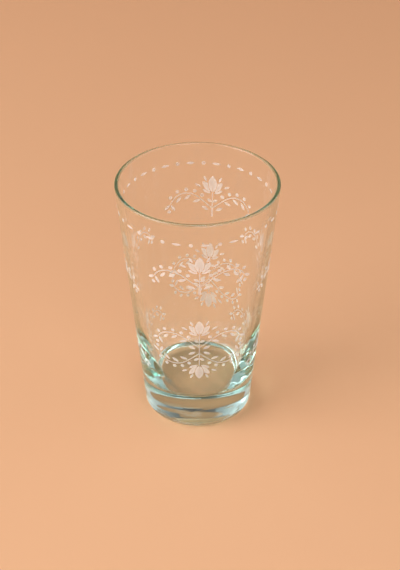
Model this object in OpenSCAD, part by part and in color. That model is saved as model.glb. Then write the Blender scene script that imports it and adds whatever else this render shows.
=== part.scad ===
// Tumbler of clear glass with a thick base, and a frosted flower pattern on its wall.
// The glass stands on the XY plane with its axis on Z, and its front faces -Y.
// A turn is an angle round the axis from the front, positive towards +X.

/* [Glass] */
// Height from the table to the top of the rim
height = 132; // [115:1:160]
// Diameter across the rim
rim_d = 80; // [72:1:88]
// Diameter across the base, at its widest just above the heel
base_d = 55.8; // [50:0.1:64]
// Thickness of the wall at the rim, which is rounded off to a half circle
rim_t = 2; // [1.4:0.1:3]
// Radius of the rounded heel where the wall meets the table
heel_r = 3.6; // [2:0.1:5]
// Height of the inner floor above the table
floor_z = 18.8; // [8:0.1:26]
// Diameter of the flat inner floor
floor_d = 39.8; // [30:0.1:41]
// Radius of the tight corner at the edge of the inner floor
corner_r = 3; // [2:0.5:5]
// Angle through which the tight corner turns up, before the wide swell of the wall takes over
corner_turn = 78; // [76:0.5:81]
// Radius of the wide swell by which the wall thickens towards the base
swell_r = 440; // [250:10:600]
// Diameter of the shallow hollow under the base
hollow_d = 38; // [24:1:40]
// Depth of the shallow hollow under the base
hollow_h = 0.8; // [0.3:0.1:2]

/* [Border row] */
// Distance from the rim down to the border row
border_drop = 11.5; // [6:0.5:14]
// Number of dashes in the border row, with a dot after each
border_n = 18; // [12:1:22]
// Turn of the first dash
border_turn = 5.5; // [-10:0.5:10]
// Length of a dash
dash_l = 4.6; // [3:0.1:6]
// Width of a dash at its middle
dash_w = 1.35; // [0.8:0.05:2]
// Diameter of a dot
dot_d = 2; // [1:0.1:2.6]

/* [Places of the sprays] */
// Turn of the sprays at the front
front_turn = 1.5; // [-10:0.5:10]
// Turn of the sprays at the right
right_turn = 96; // [80:1:100]
// Turn of the sprays at the back
back_turn = 168; // [165:1:195]
// Turn of the sprays at the left
left_turn = 265; // [260:1:280]
// Distance from the rim down to the root of the upper sprays, front and back
upper_drop = 36.6; // [35:0.1:42]
// Height of the middle of the doubled sprays, front and back
double_z = 55; // [50:0.5:60]
// Distance between the two roots of a doubled spray
double_gap = 3.8; // [3:0.1:8]
// Distance from the rim down to the root of the upper sprays at the sides
side_upper_drop = 50.3; // [44:0.1:56]
// Height of the root of the lower sprays at the sides
side_lower_z = 34.8; // [30:0.1:40]

/* [Shape of a spray] */
// Radius of the wall on which a spray has the sizes given here
pattern_r = 37; // [33:0.5:44]
// Height of the flower's base above the root
flower_v = 8.9; // [8:0.1:11]
// Length of the middle petal
petal_l = 9.4; // [7:0.1:11]
// Width of the middle petal
petal_w = 4.6; // [3:0.1:6]
// Reach of the side petals to each side
side_petal_u = 5.4; // [4:0.1:7]
// Height of the upper side petals' tips above the flower's base
side_petal_v = 6.1; // [4:0.1:8]
// Width of the upper side petals
side_petal_w = 3.3; // [2:0.1:4]
// Height of the lower side petals' tips above the flower's base
low_petal_v = 1.5; // [0.8:0.1:2.5]
// Width of the lower side petals
low_petal_w = 2.3; // [1.5:0.1:3]
// Distance of the rays from the middle of the flower's base
ray_reach = 8.7; // [8:0.1:11]
// Length of a ray beside the flower
ray_l = 3.3; // [2:0.1:4]
// Width of a ray beside the flower
ray_w = 1.2; // [0.8:0.1:1.6]
// Width of the stem, and of an arch at its root and end
stem_w = 0.6; // [0.4:0.05:0.7]
// Width of an arch below its crest, where it swells
crest_w = 0.75; // [0.75:0.05:1]
// Length of the thick foot of the stem
foot_l = 4.8; // [3:0.1:7]
// Width of the thick foot of the stem
foot_w = 1.2; // [0.8:0.1:2]
// Angle at which an arch leaves the root
arch_rise = 40; // [36:1:48]
// Distance of an arch's crest from the stem
crest_u = 14.5; // [13.5:0.1:16]
// Height of an arch's crest above the root
crest_v = 8.6; // [7:0.1:9.5]
// Distance of an arch's end from the stem
arch_end_u = 22.4; // [20:0.1:24]
// Height of an arch's end above the root
arch_end_v = 3.3; // [2:0.1:5]
// Diameter of a berry
berry_d = 2; // [1.2:0.1:2.6]
// Number of berries along an arch
berry_n = 5; // [3:1:6]
// Place of the first berry along an arch, from the root
berry_first = 8.8; // [7:0.1:10]
// Distance between berries along an arch
berry_step = 3.9; // [3:0.1:4.4]
// Distance of the berries outside an arch
berry_off = 2; // [1.6:0.1:3]
// Distance of the last berry below an arch's end
end_berry_off = 4; // [3.4:0.1:5]
// Length of a leaf
leaf_l = 4.2; // [3:0.1:5]
// Width of a leaf
leaf_w = 1.6; // [1:0.1:2]
// Number of leaves hanging below an arch
leaf_n = 3; // [1:1:4]
// Place of the first hanging leaf along an arch, from the root
leaf_first = 8.9; // [8:0.1:10]
// Distance between hanging leaves along an arch
leaf_step = 6.6; // [5:0.1:7]
// Distance of the hanging leaves inside an arch
leaf_off = 2.3; // [2:0.1:3]
// Distance from the stem to the pair of leaves at the root
root_leaf_u = 3.9; // [3:0.1:5]
// Height of the pair of leaves on the stem
stem_leaf_v = 4.4; // [3.5:0.1:5]
// Length of the leaves on the stem
stem_leaf_l = 2.9; // [2:0.1:3.4]

/* [Frosting] */
// Thickness of the frosted film
film_t = 0.12; // [0.06:0.01:0.3]

/* [Hidden] */
$fn = 96;

// Centres of the round heel, the round rim and the inner corner, in the plane of radius and height
heel_c = [base_d / 2 - heel_r, heel_r];
rim_c = [rim_d / 2 - rim_t / 2, height - rim_t / 2];
corner_c = [floor_d / 2, floor_z + corner_r];

// Direction, pointing outwards, of the normal to a line that touches two of these circles
function touch_normal(from, to, span) =
    let (way = to - from, a = atan2(way.y, way.x) - acos(span / norm(way)))
    [cos(a), sin(a)];
outer_n = touch_normal(heel_c, rim_c, heel_r - rim_t / 2);

// The swell touches the corner at the bend, and the straight inner wall at its own top
bend_n = [sin(corner_turn), -cos(corner_turn)];
bend = corner_c + corner_r * bend_n;
swell_c = corner_c - (swell_r - corner_r) * bend_n;
inner_n = touch_normal(swell_c, rim_c, swell_r + rim_t / 2);
swell_top = swell_c + swell_r * inner_n;
swell_fn = 720;

// Ends of the straight outer wall, and its radius at a height
wall_low = heel_c + heel_r * outer_n;
wall_top = rim_c + rim_t / 2 * outer_n;
function wall_r(z) =
    wall_low.x + (z - wall_low.y) * (wall_top.x - wall_low.x) / (wall_top.y - wall_low.y);

// The hollow under the base is part of a ball
hollow_r = (pow(hollow_d / 2, 2) + pow(hollow_h, 2)) / (2 * hollow_h);

// A mark is drawn flat, carried this far through the wall and cut to the film
mark_depth = 8;

// An arch is a straight run, an arc up to its crest and an arc down to its end
rise_r = (tan(arch_rise) * crest_u - crest_v) / (1 / cos(arch_rise) - 1);
rise_c = [crest_u, crest_v - rise_r];
run_end = rise_c + rise_r * [-sin(arch_rise), cos(arch_rise)];
run_l = norm(run_end);
rise_l = rise_r * arch_rise * PI / 180;
fall_u = arch_end_u - crest_u;
fall_v = crest_v - arch_end_v;
fall_r = (fall_u * fall_u + fall_v * fall_v) / (2 * fall_v);
fall_c = [crest_u, crest_v - fall_r];
fall_turn = atan2(fall_u, arch_end_v - fall_c.y);
arch_mid_u = arch_end_u / 2;

// Angle of the way up in a drawing, at which an arch has its crest
up = 90;

// Point at a length s along an arch, moved out from it by off
function arch_point(s, off) =
    s < run_l ? s * [cos(arch_rise), sin(arch_rise)] + off * [-sin(arch_rise), cos(arch_rise)] :
    s < run_l + rise_l ?
        let (a = arch_rise - (s - run_l) / rise_r * 180 / PI)
        rise_c + (rise_r + off) * [-sin(a), cos(a)] :
    let (a = (s - run_l - rise_l) / fall_r * 180 / PI)
    fall_c + (fall_r + off) * [sin(a), cos(a)];

// Tilts of the hanging leaves, of the pair of leaves at an arch's end and of the other marks
hang_tilt = -18;
hang_tilt_step = -15;
end_leaf_ways = [-120, -30];
end_berry_way = -75;
root_leaf_tilt = 29;
stem_leaf_tilt = 32;
ray_tilts = [62, 27];
arch_end = [arch_end_u, arch_end_v];

// Berries and leaves on one side of a half spray: berries as [place], leaves as [place, tilt, length]
BERRIES = concat(
    [for (i = [0 : berry_n - 1]) arch_point(berry_first + i * berry_step, berry_off)],
    [arch_end + end_berry_off * [cos(end_berry_way), sin(end_berry_way)]]);
LEAVES = concat(
    [for (i = [0 : leaf_n - 1])
        [arch_point(leaf_first + i * leaf_step, -leaf_off), hang_tilt + i * hang_tilt_step, leaf_l]],
    [for (way = end_leaf_ways) [arch_end + (stem_w + leaf_l) / 2 * [cos(way), sin(way)], way, leaf_l]],
    [[[root_leaf_u, 0], root_leaf_tilt, leaf_l]],
    [[[stem_w / 2 + stem_leaf_l / 2 * cos(stem_leaf_tilt), stem_leaf_v], stem_leaf_tilt, stem_leaf_l]]);

// A spray shrinks half as much as the wall that it lies on narrows
function spray_scale(z) = (1 + wall_r(z) / pattern_r) / 2;

// Half sprays of each spray: [root height, way up or down, whether it has a foot, scale]
function single(z) = [[z, 1, true, spray_scale(z)]];
function doubled(z) = [
    [z + double_gap / 2, 1, false, spray_scale(z)],
    [z - double_gap / 2, -1, false, spray_scale(z)]];
SPRAYS = [
    ["front_upper", front_turn, single(height - upper_drop)],
    ["right_upper", right_turn, single(height - side_upper_drop)],
    ["back_upper", back_turn, single(height - upper_drop)],
    ["left_upper", left_turn, single(height - side_upper_drop)],
    ["front_lower", front_turn, doubled(double_z)],
    ["right_lower", right_turn, single(side_lower_z)],
    ["back_lower", back_turn, doubled(double_z)],
    ["left_lower", left_turn, single(side_lower_z)]];
KINDS = ["flower", "stems", "leaves", "berries"];

// Leaf shape between two arcs, lying along X
module lens(length, width) {
    r = (length * length + width * width) / (4 * width);
    intersection() {
        translate([0, r - width / 2]) circle(r);
        translate([0, width / 2 - r]) circle(r);
    }
}

// Band along an arc, between two angles
module arc_band(centre, r, from, to, width) {
    far = 2 * r;
    middle = (from + to) / 2;
    translate(centre) intersection() {
        difference() {
            circle(r + width / 2);
            circle(r - width / 2);
        }
        polygon([
            [0, 0],
            far * [cos(from), sin(from)],
            far * [cos(middle), sin(middle)],
            far * [cos(to), sin(to)]]);
    }
}

// Carries a flat drawing to the wall at a turn and a height
module on_wall(turn, z) {
    rotate([0, 0, turn]) translate([0, -wall_r(z), z]) rotate([90, 0, 0])
        linear_extrude(height = mark_depth, center = true) children();
}

// Thin layer on the outside of the straight wall
module film() {
    rotate_extrude() polygon([
        wall_low,
        wall_low + film_t * outer_n,
        wall_top + film_t * outer_n,
        wall_top]);
}

// Cuts each of its children to the film
module frosted() {
    color("mistyrose") for (i = [0 : $children - 1]) intersection() {
        children(i);
        film();
    }
}

// Puts a mark of a half spray on both sides of its stem
module both_sides(turn, half, place) {
    k = half[3];
    for (side = [-1, 1])
        on_wall(turn + side * place.x * k / wall_r(half[0]) * 180 / PI, half[0] + half[1] * place.y * k)
            scale(k) mirror([side < 0 ? 1 : 0, 0]) mirror([0, half[1] < 0 ? 1 : 0]) children();
}

// Puts a drawing of a half spray on its stem, at a height above its root
module on_stem(turn, half, v) {
    k = half[3];
    on_wall(turn, half[0] + half[1] * v * k) scale(k) mirror([0, half[1] < 0 ? 1 : 0]) children();
}

module petal(tip, width) {
    rotate(atan2(tip.y, tip.x)) translate([norm(tip) / 2, 0]) lens(norm(tip), width);
}

module glass_body() {
    color([0.8, 0.93, 0.88, 0.4]) rotate_extrude() difference() {
        union() {
            polygon([
                [0, 0],
                [heel_c.x, 0],
                wall_low,
                wall_top,
                rim_c,
                rim_c - rim_t / 2 * inner_n,
                swell_top,
                bend,
                [corner_c.x, floor_z],
                [0, floor_z]]);
            translate(heel_c) circle(heel_r);
            translate(rim_c) circle(rim_t / 2);
        }
        intersection() {
            translate(swell_c) circle(swell_r, $fn = swell_fn);
            translate([0, bend.y]) square([rim_d / 2, swell_top.y - bend.y]);
        }
        translate(corner_c) circle(corner_r);
        translate([0, hollow_h - hollow_r]) circle(hollow_r);
    }
}

module border_dashes() {
    frosted() for (i = [0 : border_n - 1])
        on_wall(border_turn + i * 360 / border_n, height - border_drop) lens(dash_l, dash_w);
}

module border_dots() {
    frosted() for (i = [0 : border_n - 1])
        on_wall(border_turn + (i + 0.5) * 360 / border_n, height - border_drop) circle(d = dot_d);
}

// Five petals and the four rays round them
module spray_flower(turn, halves) {
    frosted() for (half = halves) on_stem(turn, half, flower_v) {
        petal([0, petal_l], petal_w);
        for (side = [-1, 1]) {
            petal([side * side_petal_u, side_petal_v], side_petal_w);
            petal([side * side_petal_u, low_petal_v], low_petal_w);
            for (tilt = ray_tilts)
                translate(ray_reach * [side * cos(tilt), sin(tilt)]) rotate(side * tilt) lens(ray_l, ray_w);
        }
    }
}

// Draws a stretch of an arch on both sides of the stem
module on_arches(turn, half) {
    both_sides(turn, half, [arch_mid_u, 0]) translate([-arch_mid_u, 0]) children();
}

// Upright bar on the stem, from one height to another
module stem_bar(turn, half, from, to, width) {
    frosted() on_stem(turn, half, 0) translate([-width / 2, from]) square([width, to - from]);
}

// Stem with its foot, and the two arches. A doubled spray has one stem from flower to flower
module spray_stems(turn, halves) {
    for (half = halves) {
        frosted() {
            on_arches(turn, half) rotate(arch_rise) translate([0, -stem_w / 2]) square([run_l, stem_w]);
            on_arches(turn, half) arc_band(rise_c, rise_r, up, up + arch_rise, crest_w);
            on_arches(turn, half) arc_band(fall_c, fall_r, up - fall_turn, up, stem_w);
        }
        if (half[2]) stem_bar(turn, half, -foot_l, 0, foot_w);
        if (half[2]) stem_bar(turn, half, 0, flower_v, stem_w);
    }
    if (len(halves) > 1) stem_bar(turn, halves[0], -flower_v - double_gap / halves[0][3], flower_v, stem_w);
}

// Leaves below the arches, at their ends, at the root and on the stem
module spray_leaves(turn, halves) {
    frosted() for (half = halves) for (leaf = LEAVES)
        both_sides(turn, half, leaf[0]) rotate(leaf[1]) lens(leaf[2], leaf_w);
}

module spray_berries(turn, halves) {
    frosted() for (half = halves) for (place = BERRIES)
        both_sides(turn, half, place) circle(d = berry_d);
}

glass_body();
border_dashes();
border_dots();
for (spray = SPRAYS) {
    spray_flower(spray[1], spray[2]);
    spray_stems(spray[1], spray[2]);
    spray_leaves(spray[1], spray[2]);
    spray_berries(spray[1], spray[2]);
}
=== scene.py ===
"""A tapered drinking glass of clear, faintly green glass with frosted flower sprays, over its CAD frame."""

import bpy
import numpy as np
from bpy.props import FloatProperty, FloatVectorProperty, IntProperty, PointerProperty
from bpy.types import Operator, Panel, PropertyGroup
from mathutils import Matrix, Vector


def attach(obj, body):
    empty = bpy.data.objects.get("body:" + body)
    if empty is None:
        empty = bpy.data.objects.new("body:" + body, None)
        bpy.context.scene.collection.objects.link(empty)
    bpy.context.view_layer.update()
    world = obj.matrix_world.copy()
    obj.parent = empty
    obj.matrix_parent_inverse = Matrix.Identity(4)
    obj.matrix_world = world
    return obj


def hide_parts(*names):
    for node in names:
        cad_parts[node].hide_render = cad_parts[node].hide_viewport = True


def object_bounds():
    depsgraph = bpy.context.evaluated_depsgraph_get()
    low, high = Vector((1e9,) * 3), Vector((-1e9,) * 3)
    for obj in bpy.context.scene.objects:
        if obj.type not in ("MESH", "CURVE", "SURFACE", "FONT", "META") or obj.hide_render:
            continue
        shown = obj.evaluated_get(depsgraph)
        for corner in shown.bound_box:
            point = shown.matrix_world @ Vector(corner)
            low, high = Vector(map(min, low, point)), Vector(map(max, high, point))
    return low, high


bl_info = {
    "name": "Drinking glass with frosted sprays",
    "version": (1, 0, 0),
    "blender": (4, 5, 0),
    "location": "3D View > Sidebar > Drinking glass",
    "description": "Makes a tapered tumbler, its frosted marks and the stage that it stands on",
    "category": "Add Mesh",
}

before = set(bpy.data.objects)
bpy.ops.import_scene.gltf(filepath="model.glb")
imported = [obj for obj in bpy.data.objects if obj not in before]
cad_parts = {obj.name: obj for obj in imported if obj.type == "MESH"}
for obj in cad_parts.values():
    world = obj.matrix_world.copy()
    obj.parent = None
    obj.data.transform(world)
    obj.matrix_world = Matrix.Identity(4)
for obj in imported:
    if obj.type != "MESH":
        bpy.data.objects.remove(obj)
CAD_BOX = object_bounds()
MM = 0.001


def size(name, default, description):
    """A length property, given in millimetres and held in metres."""
    return FloatProperty(name=name, description=description, default=default * MM, min=0, unit="LENGTH")


def place(name, default, description):
    """A point property, given in millimetres and held in metres."""
    point = [c * MM for c in default]
    return FloatVectorProperty(
        name=name, description=description, default=point, size=3, subtype="XYZ", unit="LENGTH")


def turn(name, default, description):
    """An angle property, given in degrees and held in radians."""
    return FloatProperty(name=name, description=description, default=np.radians(default), subtype="ANGLE")


def share(name, default, description, top=1.0):
    """A plain number property from nothing to its top."""
    return FloatProperty(name=name, description=description, default=default, min=0, max=top)


def number(name, default, description, least=1):
    """A whole number property."""
    return IntProperty(name=name, description=description, default=default, min=least)


def power(name, default, description):
    """A power property in watts."""
    return FloatProperty(name=name, description=description, default=default, min=0, unit="POWER")


def colour(name, default, description):
    """A linear colour property."""
    return FloatVectorProperty(
        name=name, description=description, default=default, size=3, min=0, max=1, subtype="COLOR")


class GlassSizes(PropertyGroup):
    """Sizes of the glass body."""

    height: size("Height", CAD_BOX[1].z / MM, "From the table to the top of the rim")
    rim_d: size("Rim diameter", (CAD_BOX[1].x - CAD_BOX[0].x) / MM, "Across the outside of the rim")
    base_d: size("Base diameter", 55.8, "Across the base, just above the heel")
    rim_t: size("Rim thickness", 2.0, "Thickness of the wall at the rounded rim")
    heel_r: size("Heel radius", 3.6, "Rounding where the wall meets the table")
    floor_z: size("Floor height", 18.8, "Height of the inner floor above the table")
    floor_d: size("Floor diameter", 39.8, "Flat part of the inner floor")
    corner_r: size("Corner radius", 3.0, "Tight rounding at the edge of the inner floor")
    corner_turn: turn("Corner turn", 78, "How far the tight rounding turns up before the wide one takes over")
    swell_r: size("Swell radius", 440, "Wide rounding by which the wall thickens towards the base")
    hollow_d: size("Hollow diameter", 38.0, "Shallow hollow under the base")
    hollow_h: size("Hollow depth", 0.8, "Depth of the hollow under the base")
    ripple: size("Ripple", 0.3, "Unevenness that pressing leaves on the floor and under the base")
    foot_wave: size("Foot wave", 2.0, "How far the edge of the hollow wanders in and out")
    pitch: size("Pitch", 8.0, "Spread of the unevenness in the hollow")
    streak: size("Streak", 0.08, "Height of the slanting waves on the inside of the thick lower wall")
    streak_h: size("Streak reach", 42, "Height above the floor at which these waves have died out")
    around: number("Steps around", 288, "Faces round the glass", 32)


class BorderSizes(PropertyGroup):
    """Sizes of the border row under the rim."""

    drop: size("Drop", 11.5, "From the rim down to the row")
    count: number("Count", 18, "Dashes in the row, with a dot after each", 3)
    first: turn("First dash", 5.5, "Turn of the first dash from the front")
    dash_l: size("Dash length", 4.6, "Length of a dash")
    dash_w: size("Dash width", 1.35, "Width of a dash at its middle")
    dot_d: size("Dot diameter", 2.0, "Diameter of a dot")


class SpraySizes(PropertyGroup):
    """Sizes of the flower sprays, as they are on a wall of the pattern radius."""

    front: turn("Front", 1.5, "Turn of the sprays at the front")
    right: turn("Right", 96, "Turn of the sprays at the right")
    back: turn("Back", 168, "Turn of the sprays at the back")
    left: turn("Left", 265, "Turn of the sprays at the left")
    upper_drop: size("Upper drop", 36.6, "From the rim to the root of the upper sprays, front and back")
    side_upper_drop: size("Side upper drop", 50.3, "From the rim to the root of the upper side sprays")
    double_z: size("Doubled height", 55, "Height of the middle of the doubled sprays")
    double_gap: size("Doubled gap", 3.8, "Between the two roots of a doubled spray")
    side_lower_z: size("Side lower height", 34.8, "Height of the root of the lower sprays at the sides")
    pattern_r: size("Pattern radius", 37, "Radius of the wall on which a spray has these sizes")
    flower_v: size("Flower height", 8.9, "Height of the flower's base above the root")
    petal_l: size("Petal length", 9.4, "Length of the middle petal")
    petal_w: size("Petal width", 4.6, "Width of the middle petal")
    side_petal_u: size("Side petal reach", 5.4, "Reach of the side petals to each side")
    side_petal_v: size("Side petal height", 6.1, "Height of the upper side petals' tips")
    side_petal_w: size("Side petal width", 3.3, "Width of the upper side petals")
    low_petal_v: size("Low petal height", 1.5, "Height of the lower side petals' tips")
    low_petal_w: size("Low petal width", 2.3, "Width of the lower side petals")
    petal_gap: size("Petal gap", 0.2, "Clear line between two petals")
    slit_l: size("Petal slit", 3.8, "Length of the clear slit in the foot of the middle petal")
    ray_reach: size("Ray reach", 8.7, "From the flower's base to the middle of a ray")
    ray_l: size("Ray length", 3.3, "Length of a ray")
    ray_w: size("Ray width", 1.2, "Width of a ray")
    stem_w: size("Stem width", 0.6, "Width of the stem, and of an arch at its root and end")
    crest_w: size("Crest width", 0.75, "Width of an arch at its crest")
    foot_l: size("Foot length", 4.8, "Length of the thick foot of the stem")
    foot_w: size("Foot width", 1.2, "Width of the thick foot of the stem")
    arch_rise: turn("Arch rise", 40, "Angle at which an arch leaves the root")
    crest_u: size("Crest reach", 14.5, "Distance of an arch's crest from the stem")
    crest_v: size("Crest height", 8.6, "Height of an arch's crest above the root")
    arch_end_u: size("Arch end reach", 22.4, "Distance of an arch's end from the stem")
    arch_end_v: size("Arch end height", 3.3, "Height of an arch's end above the root")
    berry_d: size("Berry diameter", 2.0, "Diameter of a berry")
    berry_n: number("Berries", 5, "Berries along an arch")
    berry_first: size("First berry", 8.8, "Place of the first berry along an arch")
    berry_step: size("Berry step", 3.9, "Distance between berries along an arch")
    berry_off: size("Berry offset", 2.0, "Distance of the berries outside an arch")
    end_berry_off: size("End berry offset", 4.0, "Distance of the last berry below an arch's end")
    leaf_l: size("Leaf length", 4.2, "Length of a leaf")
    leaf_w: size("Leaf width", 1.6, "Width of a leaf")
    leaf_n: number("Leaves", 3, "Leaves hanging below an arch")
    leaf_first: size("First leaf", 8.9, "Place of the first hanging leaf along an arch")
    leaf_step: size("Leaf step", 6.6, "Distance between hanging leaves along an arch")
    leaf_off: size("Leaf offset", 2.3, "Distance of the hanging leaves inside an arch")
    root_leaf_u: size("Root leaf reach", 3.9, "Distance from the stem to the leaves at the root")
    stem_leaf_v: size("Stem leaf height", 4.4, "Height of the pair of leaves on the stem")
    stem_leaf_l: size("Stem leaf length", 2.9, "Length of the leaves on the stem")


class Finish(PropertyGroup):
    """Colours of the glass and of the frosting, and the frosting's thickness."""

    tint: colour("Tint", (0.11, 0.67, 0.62), "Colour that thick glass keeps")
    tint_depth: share("Tint depth", 9.0, "Strength of the tint for each metre of glass", 1000)
    index: share("Index", 1.51, "How strongly the glass bends light", 3)
    # Painted shade on light trapped in the wall: the first colour dims long runs to dark green, the second
    # leaves short runs nearly clear
    deep: colour("Deep", (0.32, 0.46, 0.34), "Light left over where it runs in long chords inside the wall")
    shallow: colour("Shallow", (0.95, 0.94, 0.90), "Light left over where it runs to and fro in the wall")
    chord: size("Chord", 22, "Length of a run inside the wall that counts as long")
    frost: colour("Frost", (0.96, 0.94, 0.925), "Colour of the frosting")
    cover: share("Cover", 0.47, "How much of the view one face of the frosting hides")
    stem_cover: share("Stem cover", 0.62, "The same for the fine stems, as a share of the cover")
    glow: share("Glow", 0.3, "Share of its light that the frosting takes from behind")
    film_gap: size("Film gap", 0.015, "Clearance between the wall and the frosting")
    film_t: size("Film thickness", 0.1, "Thickness of the frosting at its middle")


class StageSettings(PropertyGroup):
    """Floor, lamps and camera."""

    paper: colour("Paper", (0.85, 0.48, 0.27), "Colour of the paper on the floor and behind the glass")
    paper_w: size("Paper reach", 2000, "From the glass to the paper's edges")
    bend_y: size("Bend", 900, "From the glass back to where the paper starts to rise")
    bend_r: size("Bend radius", 700, "Radius of the paper's rise")
    paper_top: size("Paper top", 2000, "Height of the paper's top edge")
    sky: share("Sky", 0.1, "Strength of the white light from above, from the front and from behind", 10)
    sides: share("Sides", 1.5, "Strength of the white light from the left and from the right", 10)
    side_power: share("Side narrowing", 2.0, "How narrow the bright sides are", 10)
    key_at: place("Key place", (-1230, -550, 950), "Place of the large lamp at the left")
    key_w: size("Key width", 1200, "Width of the large lamp")
    key_h: size("Key height", 1400, "Height of the large lamp")
    key_power: power("Key power", 17.5, "Power of the large lamp")
    fill_at: place("Fill place", (250, -900, 650), "Place of the weak lamp in front")
    fill_w: size("Fill width", 600, "Width of the weak lamp")
    fill_h: size("Fill height", 600, "Height of the weak lamp")
    fill_power: power("Fill power", 3.4, "Power of the weak lamp")
    camera_at: place("Camera place", (1.17, -541.1, 448.0), "Place of the camera")
    camera_dip: turn("Camera dip", 34.833, "Angle at which the camera looks down")
    lens: FloatProperty(name="Lens", description="Focal length in millimetres", default=82.33, unit="CAMERA")


SETTINGS = {
    "glass_sizes": GlassSizes,
    "border_sizes": BorderSizes,
    "spray_sizes": SpraySizes,
    "glass_finish": Finish,
    "glass_stage": StageSettings,
}


def unit(degrees):
    """Unit vector at an angle."""
    a = np.radians(degrees)
    return np.array([np.cos(a), np.sin(a)])


def arc(centre, radius, start, end, steps):
    """Points on a circle: centre plus radius times the unit vector, between two angles in degrees."""
    a = np.radians(np.linspace(start, end, steps))
    return centre + radius * np.stack([np.cos(a), np.sin(a)], 1)


def line(start, end, steps):
    """Points at even steps on a straight line."""
    t = np.linspace(0, 1, steps)[:, None]
    return (1 - t) * np.asarray(start) + t * np.asarray(end)


def joined(first, *others):
    """One outline from stretches that each start where the one before ended."""
    return np.concatenate([first, *(stretch[1:] for stretch in others)])


# Points along each stretch of the section of the glass
HOLLOW_STEPS, FOOT_STEPS, HEEL_STEPS, WALL_STEPS, RIM_STEPS = 22, 8, 22, 70, 25
INNER_STEPS, SWELL_STEPS, CORNER_STEPS, FLOOR_STEPS = 50, 26, 22, 24


class Section:
    """Half section of the glass in radius and height: a straight wall touching two round ends."""

    def __init__(self, g):
        self.g = g
        self.heel_c = np.array([g.base_d / 2 - g.heel_r, g.heel_r])
        self.rim_c = np.array([g.rim_d / 2 - g.rim_t / 2, g.height - g.rim_t / 2])
        self.corner_c = np.array([g.floor_d / 2, g.floor_z + g.corner_r])
        self.bend_a = np.degrees(g.corner_turn) - 90
        self.swell_c = self.corner_c - (g.swell_r - g.corner_r) * unit(self.bend_a)
        self.outer_a = self.touch(self.heel_c, self.rim_c, g.heel_r - g.rim_t / 2)
        self.inner_a = self.touch(self.swell_c, self.rim_c, g.swell_r + g.rim_t / 2)
        self.outer_n = unit(self.outer_a)
        self.low = self.heel_c + g.heel_r * self.outer_n
        self.top = self.rim_c + g.rim_t / 2 * self.outer_n

    @staticmethod
    def touch(start, end, span):
        """Angle of the normal of the line that touches two circles whose radii differ by span."""
        way = end - start
        return np.degrees(np.arctan2(way[1], way[0]) - np.arccos(span / np.hypot(*way)))

    def wall_r(self, z):
        """Radius of the straight outer wall at a height."""
        slope = (self.top[0] - self.low[0]) / (self.top[1] - self.low[1])
        return self.low[0] + (z - self.low[1]) * slope

    def profile(self):
        """Outline from the middle of the underside, up outside, over the rim and down to the inner floor."""
        g = self.g
        ball = ((g.hollow_d / 2) ** 2 + g.hollow_h ** 2) / (2 * g.hollow_h)
        edge = np.degrees(np.arcsin(g.hollow_d / 2 / ball))
        inner_n = unit(self.inner_a)
        return joined(
            arc(np.array([0, g.hollow_h - ball]), ball, 90, 90 - edge, HOLLOW_STEPS),
            line((g.hollow_d / 2, 0), (self.heel_c[0], 0), FOOT_STEPS),
            arc(self.heel_c, g.heel_r, -90, self.outer_a, HEEL_STEPS),
            line(self.low, self.top, WALL_STEPS),
            arc(self.rim_c, g.rim_t / 2, self.outer_a, 180 + self.inner_a, RIM_STEPS),
            line(self.rim_c - g.rim_t / 2 * inner_n, self.swell_c + g.swell_r * inner_n, INNER_STEPS),
            arc(self.swell_c, g.swell_r, self.inner_a, self.bend_a, SWELL_STEPS),
            arc(self.corner_c, g.corner_r, self.bend_a, -90, CORNER_STEPS),
            line((g.floor_d / 2, g.floor_z), (0, g.floor_z), FLOOR_STEPS),
        )


def lathe(profile, steps):
    """Rings and two poles of the solid that a profile makes by turning, if it starts and ends on the axis.

    Point (i, j) is the profile's radius at i times the unit vector at the turn j, at its height at i.
    """
    t = np.linspace(0, 2 * np.pi, steps, endpoint=False)
    r, z = profile[1:-1, 0, None], profile[1:-1, 1, None]
    rings = np.stack([r * np.sin(t), -r * np.cos(t), z + 0 * t], 2)
    poles = np.array([[0, 0, profile[0, 1]], [0, 0, profile[-1, 1]]])
    return rings, poles


def shell_faces(rings, steps):
    """Faces of a closed shell of rings between two poles: quads between rings and triangles at both poles.

    Point (i, j) has the number i times steps plus j, and the first and last poles come after all rings.
    """
    i, j = np.meshgrid(np.arange(rings - 1), np.arange(steps), indexing="ij")
    k = (j + 1) % steps
    low, high = i * steps, (i + 1) * steps
    quads = np.stack([low + j, low + k, high + k, high + j], 2).reshape(-1, 4)
    j = np.arange(steps)
    k = (j + 1) % steps
    first, last = rings * steps, rings * steps + 1
    start = np.stack([np.full(steps, first), k, j], 1)
    end = np.stack([(rings - 1) * steps + j, (rings - 1) * steps + k, np.full(steps, last)], 1)
    return quads, np.concatenate([start, end])


def gathered(shells):
    """Points, quads and triangles of many closed shells in one mesh, from the rings and poles of each."""
    points, quads, ends = [], [], []
    count = 0
    for rings, poles in shells:
        shell_quads, shell_ends = shell_faces(*rings.shape[:2])
        points.append(np.concatenate([rings.reshape(-1, 3), poles]))
        quads.append(shell_quads + count)
        ends.append(shell_ends + count)
        count += len(points[-1])
    return [np.concatenate(a) for a in (points, quads, ends)]


# Edges that turn more than this many degrees stay sharp
SHARP = 50


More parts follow.
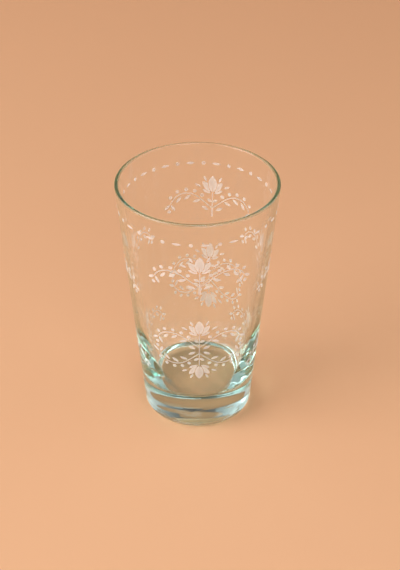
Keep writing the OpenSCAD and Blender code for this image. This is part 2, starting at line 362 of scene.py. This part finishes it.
def make_piece(name, points, quads, triangles, material, dense=None):
    """A mesh object at the origin from whole arrays, smooth but for its sharp edges, with its material."""
    mesh = bpy.data.meshes.new(name)
    corners = np.concatenate([quads.ravel(), triangles.ravel()]).astype(np.int32)
    sizes = np.concatenate([np.full(len(quads), 4), np.full(len(triangles), 3)])
    starts = np.concatenate([[0], np.cumsum(sizes)[:-1]]).astype(np.int32)
    mesh.vertices.add(len(points))
    mesh.vertices.foreach_set("co", points.astype(np.float32).ravel())
    mesh.loops.add(len(corners))
    mesh.loops.foreach_set("vertex_index", corners)
    mesh.polygons.add(len(sizes))
    mesh.polygons.foreach_set("loop_start", starts)
    mesh.polygons.foreach_set("use_smooth", np.ones(len(sizes), bool))
    mesh.update(calc_edges=True)
    if mesh.validate():
        raise RuntimeError(f"the mesh of {name} had faults")
    mesh.set_sharp_from_angle(angle=np.radians(SHARP))
    if dense is not None:
        layer = mesh.attributes.new("dense", "FLOAT", "POINT")
        layer.data.foreach_set("value", dense.astype(np.float32).ravel())
    mesh.materials.append(material)
    piece = bpy.data.objects.new(name, mesh)
    bpy.context.scene.collection.objects.link(piece)
    return piece


def dress(piece, node):
    """Puts a piece on the glass in place of its CAD node."""
    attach(piece, "root")
    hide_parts(node)


# Places of the colours among a Mix node's inputs, and of the mixed colour among its outputs
MIX_LOW, MIX_HIGH, MIX_RESULT = 6, 7, 2


class Shader:
    """Short hand for the nodes of a material or a world."""

    def __init__(self, block, output="ShaderNodeOutputMaterial"):
        self.block = block
        block.use_nodes = True
        self.tree = block.node_tree
        self.tree.nodes.clear()
        self.output = self.tree.nodes.new(output)

    def node(self, kind, **inputs):
        """A node with some inputs set, each to a value or to another node's output."""
        made = self.tree.nodes.new(kind)
        for name, value in inputs.items():
            self.set(made.inputs[name.replace("_", " ")], value)
        return made

    def set(self, socket, value):
        """Links an output to a socket, or sets the socket's own value."""
        if isinstance(value, bpy.types.NodeSocket):
            self.tree.links.new(value, socket)
        else:
            socket.default_value = value

    def noise(self, scale, detail=2.0):
        """Noise over the piece's own coordinates, with a scale in features per metre."""
        at = self.node("ShaderNodeTexCoord").outputs["Object"]
        return self.node("ShaderNodeTexNoise", Vector=at, Scale=scale, Detail=detail).outputs["Fac"]

    def span(self, value, low, high, start=0.0, end=1.0):
        """Maps a value from the range start to end onto the range low to high."""
        ranges = {"From_Min": start, "From_Max": end, "To_Min": low, "To_Max": high}
        return self.node("ShaderNodeMapRange", Value=value, **ranges).outputs["Result"]

    def blend(self, factor, low, high):
        """A colour between two colours."""
        made = self.node("ShaderNodeMix")
        made.data_type = "RGBA"
        self.set(made.inputs[0], factor)
        made.inputs[MIX_LOW].default_value = (*low, 1)
        made.inputs[MIX_HIGH].default_value = (*high, 1)
        return made.outputs[MIX_RESULT]

    def math(self, operation, first, second=0.0):
        """An operation on two numbers, such as their product, or on the first alone."""
        made = self.node("ShaderNodeMath")
        made.operation = operation
        self.set(made.inputs[0], first)
        self.set(made.inputs[1], second)
        return made.outputs[0]

    def mix(self, factor, first, second):
        """A shader between two shaders."""
        made = self.node("ShaderNodeMixShader", Fac=factor)
        self.set(made.inputs[1], first.outputs[0])
        self.set(made.inputs[2], second.outputs[0])
        return made


WHITE = (1, 1, 1, 1)

# Reflections inside the glass after which light counts as trapped in the wall, for short and for long runs
TRAPPED = (6, 8)

# Bounces of light that the thick glass needs
GLASS_BOUNCES = 40

# A run inside the wall starts to count as long at this share of the chord
SHORT_RUN = 0.25

# Flow lines in the glass: features per metre, detail, strength, and depth in metres
FLOW_SCALE, FLOW_DETAIL, FLOW_STRENGTH, FLOW_DEPTH = 38.0, 1.0, 0.02, 0.0006

# Polish of the glass: features per metre, and the roughness of its best and worst places
POLISH_SCALE, POLISH_ROUGHNESS = 700.0, (0.0, 0.02)


def tumbler_glass(finish):
    """Clear glass that tints what is seen through its depth, with faint flow lines.

    Light that is trapped between the faces of the wall leaves it straight, through painted shade that stands
    in for the light lost there: dark green where its runs inside the wall are long, nearly clear where they
    are short.
    """
    s = Shader(bpy.data.materials.new("tumbler_glass"))
    flow = s.noise(FLOW_SCALE, FLOW_DETAIL)
    bump = s.node("ShaderNodeBump", Height=flow, Strength=FLOW_STRENGTH, Distance=FLOW_DEPTH)
    polish = s.span(s.noise(POLISH_SCALE), *POLISH_ROUGHNESS)
    glass = s.node("ShaderNodeBsdfPrincipled", Base_Color=WHITE, Roughness=polish, Normal=bump.outputs[0])
    glass.inputs["Transmission Weight"].default_value = 1
    glass.inputs["IOR"].default_value = finish.index
    path = s.node("ShaderNodeLightPath")
    run = s.span(path.outputs["Ray Length"], 0.0, 1.0, SHORT_RUN * finish.chord, finish.chord)
    # Painted shade: trapped light is dimmed by a colour that goes from nearly clear on short runs to dark
    # green on long ones
    left = s.blend(run, finish.shallow, finish.deep)
    edge = s.node("ShaderNodeBsdfRefraction", Color=left, Roughness=0.0, IOR=1.0)
    trapped = s.math("GREATER_THAN", path.outputs["Glossy Depth"], s.span(run, *TRAPPED))
    depth = s.node("ShaderNodeVolumeAbsorption", Color=(*finish.tint, 1), Density=finish.tint_depth)
    s.set(s.output.inputs["Surface"], s.mix(trapped, glass, edge).outputs[0])
    s.set(s.output.inputs["Volume"], depth.outputs[0])
    return s.block


# Grain of the frosting: features per metre, and the cover that a range of the noise stands for
GRAIN_SCALE, GRAIN_COVER, GRAIN_RANGE = 2600.0, (0.9, 1.1), (0.3, 0.7)

# Bumps of the grain: strength, depth in metres, and the painted shade that darkens the frosting's colour in
# their hollows
GRAIN_STRENGTH, GRAIN_DEPTH, GRAIN_PAINTED_HOLLOW_SHADE = 0.3, 0.00004, 0.97

FROST_ROUGHNESS = 0.8


def frosting(finish):
    """Fine white frosting, lit from both sides, a little denser at its edges and speckled by its grain, with
    painted shade darkening its colour in the grain's hollows.
    """
    s = Shader(bpy.data.materials.new("frosting"))
    dense = s.node("ShaderNodeAttribute")
    dense.attribute_name = "dense"
    grain = s.noise(GRAIN_SCALE)
    speckle = s.span(grain, *GRAIN_COVER, *GRAIN_RANGE)
    cover = s.math("MULTIPLY", s.math("MULTIPLY", dense.outputs["Fac"], speckle), finish.cover)
    bump = s.node("ShaderNodeBump", Height=grain, Strength=GRAIN_STRENGTH, Distance=GRAIN_DEPTH).outputs[0]
    # Painted shade: the frosting's colour darkens where the grain's bumps are low
    frost_with_painted_shade = s.blend(grain, [GRAIN_PAINTED_HOLLOW_SHADE * c for c in finish.frost], finish.frost)
    coat = s.node("ShaderNodeBsdfPrincipled", Base_Color=frost_with_painted_shade, Normal=bump, Roughness=FROST_ROUGHNESS)
    behind = s.node("ShaderNodeBsdfTranslucent", Color=frost_with_painted_shade, Normal=bump)
    clear = s.node("ShaderNodeBsdfTransparent")
    lit = s.mix(finish.glow, coat, behind)
    s.set(s.output.inputs["Surface"], s.mix(cover, clear, lit).outputs[0])
    return s.block


def material_of(maker):
    """The material that a maker makes, made once."""
    made = bpy.data.materials.get(maker.__name__)
    return made or maker(bpy.context.scene.glass_finish)


# Slow waves in the base: turns round the axis, weight and phase
WAVES = ((3, 0.5, 0.7), (5, 0.32, 2.1), (8, 0.18, 4.0))

# Waves that slant up the wall: turns round the axis, turns over their reach, weight and phase
SLANTS = ((9, 3, 0.45, 0.4), (13, -2, 0.33, 1.9), (22, 5, 0.22, 5.0))

# The slow waves die out this many corner radii above the floor
WAVE_REACH = 3

# Bend and phase of the unevenness in the hollow
HOLLOW_BEND, HOLLOW_PHASE = 2, 1.0

# A length in metres that is too small to see
HAIR = 1e-6


def ripples(points, g):
    """Moves the base and the inside of the lower wall by sums of a few sines, as pressing leaves them.

    Slow waves round the axis lift the floor, most at its corner, and push the edge of the hollow under the
    base in and out. Waves of the turn and the height together push the inside of the lower wall in and out.
    Sines of both directions on the table lift the middle of the hollow.
    """
    x, y, z = points[..., 0], points[..., 1], points[..., 2]
    r, t = np.hypot(x, y), np.arctan2(x, -y)
    wave = sum(weight * np.sin(n * t + phase) for n, weight, phase in WAVES)
    up = z - g.floor_z
    inside = (up > -HAIR) & (r < Section(g).wall_r(z) - g.rim_t / 2)
    low = np.clip(1 - up / (WAVE_REACH * g.corner_r), 0, 1) * np.clip(r / (g.floor_d / 2), 0, 1) ** 2
    rise = 2 * np.pi * up / g.streak_h
    slant = sum(weight * np.sin(n * t + m * rise + phase) for n, m, weight, phase in SLANTS)
    reach = np.clip(up / g.corner_r, 0, 1) * np.clip(1 - up / g.streak_h, 0, 1)
    foot = g.base_d / 2 - g.heel_r
    under = (z < g.hollow_h + HAIR) & (r < foot)
    push = np.where(under, g.foot_wave * wave * np.sin(np.pi * np.clip(r / foot, 0, 1)), 0)
    push = push + np.where(inside, g.streak * slant * reach, 0)
    uneven = np.sin(x / g.pitch + HOLLOW_BEND * np.sin(y / g.pitch)) * np.sin(y / g.pitch + HOLLOW_PHASE)
    lift = np.where(under, g.ripple * uneven * np.clip(z / g.hollow_h, 0, 1), 0)
    lift = lift + np.where(inside, g.ripple * wave * low, 0)
    return points + np.stack([push * np.sin(t), -push * np.cos(t), lift], -1)


class MakeBody(Operator):
    """Turns the glass body from its section and ripples its base and lower wall"""

    bl_idname = "drinking_glass.make_body"
    bl_label = "Glass body"

    def execute(self, context):
        g = context.scene.glass_sizes
        rings, poles = lathe(Section(g).profile(), g.around)
        body = make_piece("tumbler", *gathered([(ripples(rings, g), poles)]), material_of(tumbler_glass))
        dress(body, "glass_body")
        return {"FINISHED"}


def lens_outline(length, width, steps):
    """Closed outline of a leaf between two arcs, lying along u.

    The arcs' radius is length squared plus width squared, over four widths. The half width at u is the arc's
    height there less the distance of its centre. The first half of the points runs above, the rest below.
    """
    a = np.linspace(0, 2 * np.pi, steps, endpoint=False)
    u = length / 2 * np.cos(a)
    r = (length ** 2 + width ** 2) / (4 * width)
    h = np.sqrt(np.maximum(r ** 2 - u ** 2, 0)) - (r - width / 2)
    return np.stack([u, np.sign(np.sin(a)) * h], -1)


def circle_outline(diameter, steps):
    """Closed outline of a round dot."""
    a = np.linspace(0, 2 * np.pi, steps, endpoint=False)
    return diameter / 2 * np.stack([np.cos(a), np.sin(a)], 1)


def turned(outline, degrees):
    """An outline turned about its own origin."""
    c, s = unit(degrees)
    return outline @ np.array([[c, s], [-s, c]])


# Rings of a mark's film from its back to its front: shares of the outline and of the film's thickness
FILM_RINGS = ((0.6, 0.0), (1.0, 0.0), (1.0, 0.55), (0.82, 0.9), (0.45, 1.0))

# Density of the frosting from half way out to the outline, where it is a little thicker
EDGE_DENSITY = ((0.5, 1.0), (0.95, 1.1))


class Wall:
    """The outside of the wall, onto which flat drawings are carried."""

    def __init__(self, scene):
        self.section = Section(scene.glass_sizes)
        self.finish = scene.glass_finish

    def carry(self, uv, turn_at, height, layer):
        """Point of a flat drawing on the wall: u stays across, v adds to the height, depth is the cone's.

        The drawing touches the wall at a turn and a height. A layer from 0 to 1 lifts it along the normal.
        """
        u, z = uv[..., 0], height + uv[..., 1]
        lift = self.finish.film_gap + layer * self.finish.film_t
        r = self.section.wall_r(z) + lift / self.section.outer_n[0]
        y = -np.sqrt(r ** 2 - u ** 2)
        c, s = np.cos(turn_at), np.sin(turn_at)
        return np.stack([c * u - s * y, s * u + c * y, z], -1)

    def films(self, marks):
        """Closed domed films and their densities, from marks of outline, middle, turn and height.

        A film's rings are its outline drawn in towards its middle by a share, at shares of the thickness.
        """
        shares, layers = np.array(FILM_RINGS).T
        shells, dense = [], []
        for outline, middle, turn_at, height in marks:
            rings = middle + shares[:, None, None] * (outline - middle)
            on_rings = self.carry(rings, turn_at, height, layers[:, None])
            on_poles = self.carry(np.stack([middle, middle]), turn_at, height, layers[[0, -1]])
            shells.append((on_rings, on_poles))
            outward = np.concatenate([np.repeat(shares, len(outline)), [0, 0]])
            dense.append(np.interp(outward, *EDGE_DENSITY))
        return shells, np.concatenate(dense)


def frost(node, shells, dense):
    """One piece of frosting in place of a CAD node, from closed shells and the density of their points."""
    points, quads, ends = gathered(shells)
    dense = np.broadcast_to(dense, len(points))
    piece = make_piece(node + "_frost", points, quads, ends, material_of(frosting), dense)
    dress(piece, node)


def mirrored(outline, across, upside):
    """An outline mirrored across or upside down, with its points kept in the same sense of turning."""
    out = outline * np.array([across, upside])
    return out if across * upside > 0 else out[::-1]


class Half:
    """One half of a spray: its root, its way up or down, and the scale of its marks on the wall."""

    def __init__(self, wall, turn_at, root, way, scale):
        self.wall, self.turn_at, self.root, self.way, self.scale = wall, turn_at, root, way, scale

    def place(self, outline, middle, side, at):
        """A mark at a place beside the stem, on one side of it: (outline, middle, turn, height)."""
        k = self.scale
        shape = k * mirrored(outline, side, self.way)
        at_turn = self.turn_at + side * at[0] * k / self.wall.section.wall_r(self.root)
        return shape, k * middle * np.array([side, self.way]), at_turn, self.root + self.way * at[1] * k


def halves(wall, turn_at, z, double, sizes):
    """The halves of a spray: one, or two about the middle of a doubled spray."""
    scale = (1 + wall.section.wall_r(z) / sizes.pattern_r) / 2
    if not double:
        return [Half(wall, turn_at, z, 1, scale)]
    gap = sizes.double_gap / 2
    return [Half(wall, turn_at, z + gap, 1, scale), Half(wall, turn_at, z - gap, -1, scale)]


# Where the sprays are round the glass, and which of them have a doubled spray below
SIDES = ("front", "right", "back", "left")
DOUBLED = ("front", "back")


def sprays(scene):
    """Name and halves of each of the eight sprays."""
    wall, p, height = Wall(scene), scene.spray_sizes, scene.glass_sizes.height
    for side in SIDES:
        double = side in DOUBLED
        turn_at = getattr(p, side)
        upper = height - (p.upper_drop if double else p.side_upper_drop)
        lower = p.double_z if double else p.side_lower_z
        yield side + "_upper", halves(wall, turn_at, upper, False, p)
        yield side + "_lower", halves(wall, turn_at, lower, double, p)


class Arch:
    """The line of an arch: a straight run, an arc up to the crest and an arc down to the end."""

    def __init__(self, p):
        self.rise = p.arch_rise
        self.crest = np.array([p.crest_u, p.crest_v])
        self.end = np.array([p.arch_end_u, p.arch_end_v])
        self.rise_r = (np.tan(self.rise) * p.crest_u - p.crest_v) / (1 / np.cos(self.rise) - 1)
        rise_c = self.crest - [0, self.rise_r]
        run_end = rise_c + self.rise_r * np.array([-np.sin(self.rise), np.cos(self.rise)])
        self.run_l = np.hypot(*run_end)
        self.crest_l = self.run_l + self.rise_r * self.rise
        fall = np.abs(self.end - self.crest)
        self.fall_r = (fall @ fall) / (2 * fall[1])
        self.length = self.crest_l + self.fall_r * np.arctan2(fall[0], self.fall_r - fall[1])

    def point(self, s, off):
        """Point at a length along the arch, moved out from it: the line's point plus off times its normal."""
        s, off = np.broadcast_arrays(np.asarray(s, float), np.asarray(off, float))
        bend = np.clip((s - self.run_l) / self.rise_r, 0, self.rise)
        drop = np.clip((s - self.crest_l) / self.fall_r, 0, None)
        a = self.rise - bend - drop
        run = np.minimum(s, self.run_l)[..., None] * np.array([np.cos(self.rise), np.sin(self.rise)])
        up = self.rise_r * np.stack([np.sin(self.rise) - np.sin(self.rise - bend),
                                     np.cos(self.rise - bend) - np.cos(self.rise)], -1)
        down = self.fall_r * np.stack([np.sin(drop), np.cos(drop) - 1], -1)
        return run + up + down + off[..., None] * np.stack([-np.sin(a), np.cos(a)], -1)


# Points round a leaf, a berry and a petal, and along a petal's edge, an arch and a stem
LEAF_STEPS, BERRY_STEPS, PETAL_STEPS = 16, 14, 22
EDGE_STEPS, ARCH_STEPS, STEM_STEPS = 200, 34, 24

# The two sides of a stem
BOTH_SIDES = (-1, 1)

# Tilts of the marks of a spray, in degrees, as the CAD frame has them
HANG_TILT, HANG_TILT_STEP = -18, -15
END_LEAF_WAYS = (-120, -30)
END_BERRY_WAY = -75
ROOT_LEAF_TILT = 29
STEM_LEAF_TILT = 32
RAY_TILTS = (62, 27)

# The leaves on a stem keep this share of their length, so that they stay clear of it
STEM_LEAF_FIT = 0.96


class MakeBorder(Operator):
    """Frosts the dashes and dots of the border row"""

    bl_idname = "drinking_glass.make_border"
    bl_label = "Border row"

    def execute(self, context):
        b, wall = context.scene.border_sizes, Wall(context.scene)
        z = context.scene.glass_sizes.height - b.drop
        turns = b.first + np.arange(b.count) * 2 * np.pi / b.count
        middle = np.zeros(2)
        dash = lens_outline(b.dash_l, b.dash_w, LEAF_STEPS)
        dot = circle_outline(b.dot_d, BERRY_STEPS)
        frost("border_dashes", *wall.films([(dash, middle, t, z) for t in turns]))
        frost("border_dots", *wall.films([(dot, middle, t + np.pi / b.count, z) for t in turns]))
        return {"FINISHED"}


def frost_pairs(scene, kind, places):
    """Frosts marks of one kind on both sides of each spray's stem, from places of point, tilt and outline."""
    for name, pair in sprays(scene):
        marks = []
        for half in pair:
            for at, tilt, outline in places:
                marks += [half.place(turned(outline, tilt), np.zeros(2), side, at) for side in BOTH_SIDES]
        frost(f"{name}_{kind}", *pair[0].wall.films(marks))


class MakeLeaves(Operator):
    """Frosts the leaves of all sprays: along the arches, at their ends, at the root and on the stem"""

    bl_idname = "drinking_glass.make_leaves"
    bl_label = "Leaves"

    def execute(self, context):
        p = context.scene.spray_sizes
        arch = Arch(p)
        leaf = lens_outline(p.leaf_l, p.leaf_w, LEAF_STEPS)
        small = lens_outline(STEM_LEAF_FIT * p.stem_leaf_l, p.leaf_w, LEAF_STEPS)
        places = []
        for i in range(p.leaf_n):
            at = arch.point(p.leaf_first + i * p.leaf_step, -p.leaf_off)
            places.append((at, HANG_TILT + i * HANG_TILT_STEP, leaf))
        for way in END_LEAF_WAYS:
            places.append((arch.end + (p.stem_w + p.leaf_l) / 2 * unit(way), way, leaf))
        places.append(((p.root_leaf_u, 0), ROOT_LEAF_TILT, leaf))
        reach = p.stem_w / 2 + p.stem_leaf_l / 2 * np.cos(np.radians(STEM_LEAF_TILT))
        places.append(((reach, p.stem_leaf_v), STEM_LEAF_TILT, small))
        frost_pairs(context.scene, "leaves", places)
        return {"FINISHED"}


class MakeBerries(Operator):
    """Frosts the berries of all sprays: outside the arches and below their ends"""

    bl_idname = "drinking_glass.make_berries"
    bl_label = "Berries"

    def execute(self, context):
        p = context.scene.spray_sizes
        arch = Arch(p)
        dot = circle_outline(p.berry_d, BERRY_STEPS)
        points = [arch.point(p.berry_first + i * p.berry_step, p.berry_off) for i in range(p.berry_n)]
        points.append(arch.end + p.end_berry_off * unit(END_BERRY_WAY))
        frost_pairs(context.scene, "berries", [(at, 0, dot) for at in points])
        return {"FINISHED"}


def edge_angles(tip, width, radii):
    """Angles of a petal's two edges at distances from the flower's base, in radians, as (lower, upper).

    A petal is a leaf shape from the base to its tip, so a point of its edge at t along it and h across it
    lies at the distance root of t squared plus h squared, and at the petal's own angle plus or minus the
    angle of (t, h).
    """
    length = np.hypot(*tip)
    t = np.linspace(HAIR, length, EDGE_STEPS)
    r = (length ** 2 + width ** 2) / (4 * width)
    h = np.sqrt(r ** 2 - (t - length / 2) ** 2) - (r - width / 2)
    half = np.interp(radii, np.hypot(t, h), np.arctan2(h, t))
    own = np.arctan2(tip[1], tip[0])
    return own - half, own + half


# Where a petal is narrower than this angle in radians, its foot is left out
PETAL_LEAST = 1e-4

# Middle of a petal's film as a share of its length, and the same for the middle petal with its slit
PETAL_MIDDLE, SLIT_PETAL_MIDDLE = 0.58, 0.6


def petal_outlines(p):
    """Outlines and middles of the middle petal and of the petals on the right.

    Each petal runs between the angles of its edges. The middle petal lies in front, and each next one starts
    a gap away from the edge of the one before it. A slit cuts the foot of the middle petal.
    """
    rows = ((0, p.petal_l, p.petal_w), (p.side_petal_u, p.side_petal_v, p.side_petal_w),
            (p.side_petal_u, p.low_petal_v, p.low_petal_w))
    made = []
    for i, (u, v, width) in enumerate(rows):
        tip = np.array([u, v])
        reach = np.hypot(*tip) - p.petal_gap
        radii = p.petal_gap + reach * np.sin(np.linspace(0, np.pi / 2, PETAL_STEPS // 2))
        low, high = edge_angles(tip, width, radii)
        for u0, v0, w0 in rows[:i]:
            front = edge_angles(np.array([u0, v0]), w0, radii)[0] - p.petal_gap / radii
            high = np.where(radii < np.hypot(u0, v0), np.minimum(high, front), high)
        keep = high > low + PETAL_LEAST
        keep[-1] = True
        high = np.maximum(high, low)
        radii, low, high = radii[keep], low[keep], high[keep]
        right = radii[:, None] * np.stack([np.cos(low), np.sin(low)], 1)
        left = radii[:, None] * np.stack([np.cos(high), np.sin(high)], 1)
        outline = np.concatenate([right, left[-2::-1]])
        middle = PETAL_MIDDLE * tip
        if i == 0:
            outline = np.concatenate([outline, [[0, p.slit_l]]])
            middle = SLIT_PETAL_MIDDLE * tip
        made.append((outline, middle))
    return made


class MakeFlowers(Operator):
    """Frosts the flowers of all sprays: five petals with clear lines between them, and four rays"""

    bl_idname = "drinking_glass.make_flowers"
    bl_label = "Flowers"

    def execute(self, context):
        p = context.scene.spray_sizes
        (centre, centre_mid), *side_petals = petal_outlines(p)
        ray = lens_outline(p.ray_l, p.ray_w, LEAF_STEPS)
        base = np.array([0, p.flower_v])
        for name, pair in sprays(context.scene):
            marks = []
            for half in pair:
                marks.append(half.place(centre, centre_mid, 1, base))
                for side in BOTH_SIDES:
                    marks += [half.place(outline, middle, side, base) for outline, middle in side_petals]
                    for tilt in RAY_TILTS:
                        at = p.ray_reach * unit(tilt)
                        marks.append(half.place(turned(ray, tilt) + at, at, side, base))
            frost(name + "_flower", *pair[0].wall.films(marks))
        return {"FINISHED"}


# Section of a stem's film in one turn: shares of its half width and of the film's thickness
BAND_SECTION = ((-0.6, 0.0), (0.6, 0.0), (1.0, 0.0), (1.0, 0.55),
                (0.5, 1.0), (-0.5, 1.0), (-1.0, 0.55), (-1.0, 0.0))

# Where along an arch it is widest and how far that spreads, as shares of its length
CREST_AT, CREST_SPREAD = 0.62, 0.22

# An arch starts at this share of the stem's width from the stem's middle, just clear of its edge
ARCH_START = 0.53

# Squares of the shares of their width that an arch and a stem keep at their ends
ARCH_BLUNT, STEM_BLUNT = 0.02, 0.05

# Lengths in metres over which a stem widens to its foot and narrows to its ends
FOOT_TAPER, END_TAPER = 0.0008, 0.0004


def smooth_step(x):
    """A slow start and end between 0 and 1."""
    x = np.clip(x, 0, 1)
    return x * x * (3 - 2 * x)


def arch_strip(p, half, side):
    """Rings of an arch's film: its points moved across by shares of half its width, widest near the crest.

    The first ring starts just clear of the stem's edge, and the far end is rounded by narrowing.
    """
    arch = Arch(p)
    across, layers = np.array(BAND_SECTION).T
    t = np.linspace(0, 1, ARCH_STEPS)[:, None]
    swell = np.exp(-((t - CREST_AT) / CREST_SPREAD) ** 2)
    half_w = (p.stem_w + (p.crest_w - p.stem_w) * swell) / 2
    end = np.sqrt(np.clip((1 - t) * arch.length / p.stem_w, 0, 1) + ARCH_BLUNT)
    half_w = half_w * np.minimum(end, 1)
    start = (ARCH_START * p.stem_w + across * half_w * np.sin(arch.rise)) / np.cos(arch.rise)
    s = start + t * (arch.length - start)
    uv = arch.point(s, across * half_w)
    k = half.scale
    mid = p.arch_end_u / 2
    flat = (uv - [mid, 0]) * k * np.array([side, half.way])
    turn_at = half.turn_at + side * mid * k / half.wall.section.wall_r(half.root)
    return half.wall.carry(flat, turn_at, half.root, layers), side * half.way


def stem_strip(p, pair):
    """Rings of a stem's film, upright from foot to flower, or from flower to flower in a doubled spray."""
    half = pair[0]
    double = len(pair) > 1
    k = half.scale
    across, layers = np.array(BAND_SECTION).T
    top = p.flower_v
    low = -p.flower_v - p.double_gap / k if double else -p.foot_l
    v = low + (top - low) * np.linspace(0, 1, STEM_STEPS)[:, None]
    foot = 0 if double else (p.foot_w - p.stem_w) * smooth_step(-v / FOOT_TAPER + 0.5)
    ends = np.minimum(v - low, top - v)
    width = (p.stem_w + foot) * np.sqrt(np.clip(ends / END_TAPER, STEM_BLUNT, 1))
    flat = k * np.stack([across * width / 2, v + 0 * across], -1)
    return half.wall.carry(flat, half.turn_at, half.root, layers), 1


def closed_strips(strips):
    """Closed shells from rings of film and their sense, each closed by the middles of its end rings."""
    for rings, sense in strips:
        rings = rings[:, ::-1] if sense < 0 else rings
        yield rings, np.stack([rings[0].mean(0), rings[-1].mean(0)])


class MakeStems(Operator):
    """Frosts the stems of all sprays with their feet, and the arches beside them"""

    bl_idname = "drinking_glass.make_stems"
    bl_label = "Stems"

    def execute(self, context):
        p, finish = context.scene.spray_sizes, context.scene.glass_finish
        for name, pair in sprays(context.scene):
            strips = [arch_strip(p, half, side) for half in pair for side in BOTH_SIDES]
            strips.append(stem_strip(p, pair))
            frost(name + "_stems", closed_strips(strips), finish.stem_cover)
        return {"FINISHED"}


# Mottle of the paper: features per metre, detail, and the shade of its darker places
MOTTLE_SCALE, MOTTLE_DETAIL, MOTTLE_SHADE = 6.0, 3.0, 0.985

# Tooth of the paper: features per metre and its range of roughness, and how little the paper shines
TOOTH_SCALE, TOOTH_ROUGHNESS, PAPER_SHINE = 400.0, (0.8, 0.95), 0.2

# The paper lies this many metres below the glass
PAPER_GAP = 0.0002

# Points along the paper's floor, bend and back, and across it
PAPER_FLOOR_STEPS, PAPER_BEND_STEPS, PAPER_BACK_STEPS, PAPER_COLUMNS = 12, 24, 6, 12


def studio_paper(stage):
    """Matt pale paper with a faint mottle and tooth."""
    s = Shader(bpy.data.materials.new("studio_paper"))
    mottle = s.noise(MOTTLE_SCALE, MOTTLE_DETAIL)
    tooth = s.span(s.noise(TOOTH_SCALE), *TOOTH_ROUGHNESS)
    shades = s.blend(mottle, [MOTTLE_SHADE * c for c in stage.paper], stage.paper)
    paper = s.node("ShaderNodeBsdfPrincipled", Base_Color=shades, Roughness=tooth)
    paper.inputs["Specular IOR Level"].default_value = PAPER_SHINE
    s.set(s.output.inputs["Surface"], paper.outputs[0])
    return s.block


def paper_sweep(stage):
    """The studio paper: a line on the floor, a quarter circle and a line up, carried straight across."""
    w, bend = stage.paper_w, np.array([stage.bend_y, stage.bend_r - PAPER_GAP])
    wall_y = stage.bend_y + stage.bend_r
    profile = joined(
        line((-w, -PAPER_GAP), (stage.bend_y, -PAPER_GAP), PAPER_FLOOR_STEPS),
        arc(bend, stage.bend_r, -90, 0, PAPER_BEND_STEPS),
        line((wall_y, bend[1]), (wall_y, stage.paper_top), PAPER_BACK_STEPS),
    )
    rows, columns = len(profile), PAPER_COLUMNS
    points = np.empty((rows, columns, 3))
    points[..., 0] = np.linspace(-w, w, columns)
    points[..., 1:] = profile[:, None]
    i, j = np.meshgrid(np.arange(rows - 1), np.arange(columns - 1), indexing="ij")
    first = (i * columns + j).ravel()
    quads = np.stack([first, first + 1, first + columns + 1, first + columns], 1)
    no_triangles = np.zeros((0, 3), int)
    return make_piece("paper", points.reshape(-1, 3), quads, no_triangles, studio_paper(stage))


def add_lamp(name, at, width, height, watts):
    """A soft lamp, as wide and high as given, turned towards the foot of the glass."""
    lamp = bpy.data.lights.new(name, "AREA")
    lamp.shape = "RECTANGLE"
    lamp.size = width
    lamp.size_y = height
    lamp.energy = watts
    holder = bpy.data.objects.new(name, lamp)
    bpy.context.scene.collection.objects.link(holder)
    holder.location = at
    holder.rotation_euler = (-holder.location).to_track_quat("-Z", "Y").to_euler()


def studio_light(stage):
    """White light all round, stronger by a power of the share of its way that runs across."""
    s = Shader(bpy.data.worlds.new("studio"), "ShaderNodeOutputWorld")
    way = s.node("ShaderNodeSeparateXYZ", Vector=s.node("ShaderNodeTexCoord").outputs["Generated"])
    across = s.math("ABSOLUTE", way.outputs["X"])
    strength = s.span(s.math("POWER", across, stage.side_power), stage.sky, stage.sides)
    light = s.node("ShaderNodeBackground", Color=WHITE, Strength=strength)
    s.set(s.output.inputs["Surface"], light.outputs[0])
    return s.block


class SetStage(Operator):
    """Lays the pale paper, hangs the soft lamps and sets up the camera"""

    bl_idname = "drinking_glass.set_stage"
    bl_label = "Stage"

    def execute(self, context):
        scene, stage = context.scene, context.scene.glass_stage
        paper_sweep(stage)
        add_lamp("left_softbox", stage.key_at, stage.key_w, stage.key_h, stage.key_power)
        add_lamp("front_fill", stage.fill_at, stage.fill_w, stage.fill_h, stage.fill_power)
        scene.world = studio_light(stage)
        lens = bpy.data.cameras.new("camera")
        lens.lens = stage.lens
        camera = bpy.data.objects.new("camera", lens)
        scene.collection.objects.link(camera)
        camera.location = stage.camera_at
        camera.rotation_euler = (np.pi / 2 - stage.camera_dip, 0, 0)
        scene.camera = camera
        scene.view_settings.view_transform = "Standard"
        scene.cycles.max_bounces = GLASS_BOUNCES
        scene.cycles.glossy_bounces = GLASS_BOUNCES
        scene.cycles.transmission_bounces = GLASS_BOUNCES
        scene.cycles.transparent_max_bounces = GLASS_BOUNCES
        scene.cycles.blur_glossy = 0
        return {"FINISHED"}


OPERATORS = (MakeBody, MakeBorder, MakeFlowers, MakeStems, MakeLeaves, MakeBerries, SetStage)


class GlassPanel(Panel):
    """Lists the steps that make the glass"""

    bl_idname = "VIEW3D_PT_drinking_glass"
    bl_label = "Drinking glass"
    bl_space_type = "VIEW_3D"
    bl_region_type = "UI"
    bl_category = "Drinking glass"

    def draw(self, context):
        for step in OPERATORS:
            self.layout.operator(step.bl_idname)


def register():
    """Adds the settings, the operators and the panel."""
    for name, group in SETTINGS.items():
        bpy.utils.register_class(group)
        setattr(bpy.types.Scene, name, PointerProperty(type=group))
    for cls in (*OPERATORS, GlassPanel):
        bpy.utils.register_class(cls)


def unregister():
    """Removes what register added."""
    for cls in reversed((*OPERATORS, GlassPanel)):
        bpy.utils.unregister_class(cls)
    for name, group in SETTINGS.items():
        delattr(bpy.types.Scene, name)
        bpy.utils.unregister_class(group)


def main():
    """Makes everything in order."""
    register()
    bpy.ops.drinking_glass.make_body()
    bpy.ops.drinking_glass.make_border()
    bpy.ops.drinking_glass.make_flowers()
    bpy.ops.drinking_glass.make_stems()
    bpy.ops.drinking_glass.make_leaves()
    bpy.ops.drinking_glass.make_berries()
    bpy.ops.drinking_glass.set_stage()


if __name__ == "__main__":
    main()
